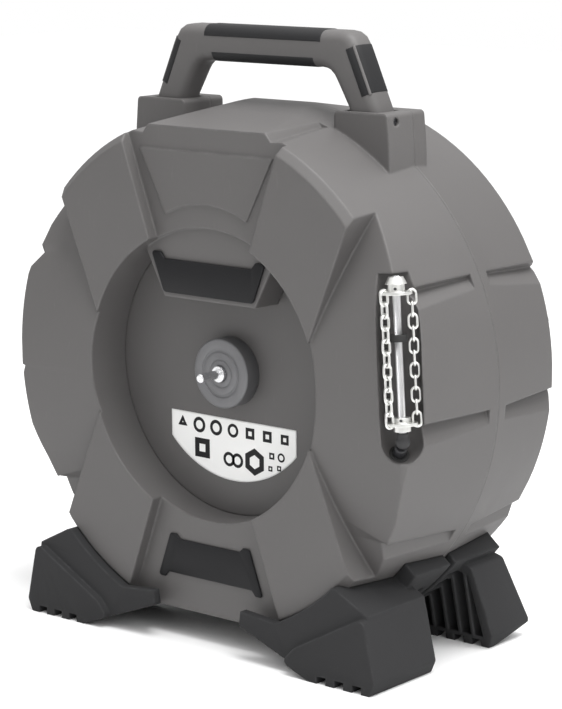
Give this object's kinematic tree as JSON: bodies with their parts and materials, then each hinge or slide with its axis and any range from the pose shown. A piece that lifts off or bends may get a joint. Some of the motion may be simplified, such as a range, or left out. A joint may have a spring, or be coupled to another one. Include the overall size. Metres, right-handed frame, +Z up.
{
  "type": "drain snake machine",
  "caption": "Round drum-cased drain cleaning machine: reeled flexible shaft, drill-driven hub, carry handle, rubber feet and a stowed chain knocker.",
  "frame": {"origin": "centre of the bounding box's base, on the ground under the feet", "axes": "+Z up, -Y toward the drill side, +X to the right seen from the drill side"},
  "size_m": [0.568, 0.278, 0.654],
  "materials": {
    "shell_plastic": "fine moulded grain",
    "shell_plastic_rear": "fine moulded grain",
    "black_screw": "black zinc",
    "badge_black": "satin",
    "label_white": "printed film",
    "handle_plastic": "fine moulded grain",
    "grip_rubber": "soft matte",
    "foot_rubber": "matte moulded",
    "hub_metal": "turned",
    "bearing_steel": "ground",
    "shaft_steel": "ground and polished",
    "spring_steel": "phosphated",
    "coupling_steel": "turned",
    "axle_alloy": "cast and turned",
    "reel_plastic": "moulded",
    "reel_hub_plastic": "moulded",
    "bush_bronze": "sintered bronze",
    "sheath_nylon": "nylon sheath",
    "clamp_alloy": "cast",
    "outlet_rubber": "soft matte",
    "ferrule_rubber": "soft matte",
    "cable_steel": "stranded wire",
    "band_rubber": "matte",
    "zinc_collar": "bright zinc",
    "set_screw_steel": "black oxide",
    "zinc_chain": "bright zinc"
  },
  "bodies": {
    "case": {"front_shell": "shell_plastic", "recess_floor": "shell_plastic", "rear_shell": "shell_plastic_rear", "shell_screws": "black_screw", "upper_badge": "badge_black", "lower_badge": "badge_black", "drill_label": "label_white", "handle_frame": "handle_plastic", "handle_top_grip": "grip_rubber", "handle_under_grip": "grip_rubber", "handle_left_strip": "grip_rubber", "handle_right_strip": "grip_rubber", "handle_screws": "black_screw", "foot_front_left": "foot_rubber", "foot_front_right": "foot_rubber", "foot_rear_left": "foot_rubber", "foot_rear_right": "foot_rubber", "foot_screws": "black_screw", "hub_plate": "hub_metal", "hub_screws": "black_screw", "front_bearing": "bearing_steel", "rear_axle": "axle_alloy", "rear_axle_screws": "black_screw", "cable_lead_out": "sheath_nylon", "outlet_sleeve": "sheath_nylon", "outlet_bush": "outlet_rubber"},
    "drive": {"drive_shaft": "shaft_steel", "shaft_circlip": "spring_steel", "shaft_coupling": "coupling_steel", "drive_core": "cable_steel"},
    "reel": {"reel_bowl": "reel_plastic", "reel_hub": "reel_hub_plastic", "reel_screws": "black_screw", "reel_bush_front": "bush_bronze", "reel_bush_rear": "bush_bronze", "cable_coil": "sheath_nylon", "cable_lead_in": "sheath_nylon", "sheath_clamp": "clamp_alloy"},
    "cable_end": {"sheath_ferrule": "ferrule_rubber"},
    "knocker": {"tip_shaft": "cable_steel", "tip_band": "band_rubber", "nose_collar": "zinc_collar", "tail_collar": "zinc_collar", "collar_set_screws": "set_screw_steel", "chain_a": "zinc_chain", "chain_b": "zinc_chain", "chain_c": "zinc_chain"}
  },
  "joints": [
    {"name": "reel_spin", "type": "hinge", "parent": "case", "child": "reel", "pos_m": [0, 0.019, 0.293], "axis": [0, 1, 0], "continuous": true},
    {"name": "drive_spin", "type": "hinge", "parent": "case", "child": "drive", "pos_m": [0, -0.041, 0.293], "axis": [0, 1, 0], "continuous": true},
    {"name": "tip_swing", "type": "hinge", "parent": "case", "child": "cable_end", "pos_m": [0.2585, -0.109, 0.26], "axis": [0.6558, 0.7544, 0.0263], "range_deg": [0, 65]},
    {"name": "knocker_spin", "type": "hinge", "parent": "cable_end", "child": "knocker", "pos_m": [0.2585, -0.109, 0.26], "axis": [-0.094, 0.0471, 0.9945], "continuous": true}
  ],
  "couplings": [
    {"joint": "knocker_spin", "follows": "drive_spin", "ratio": 1}
  ]
}
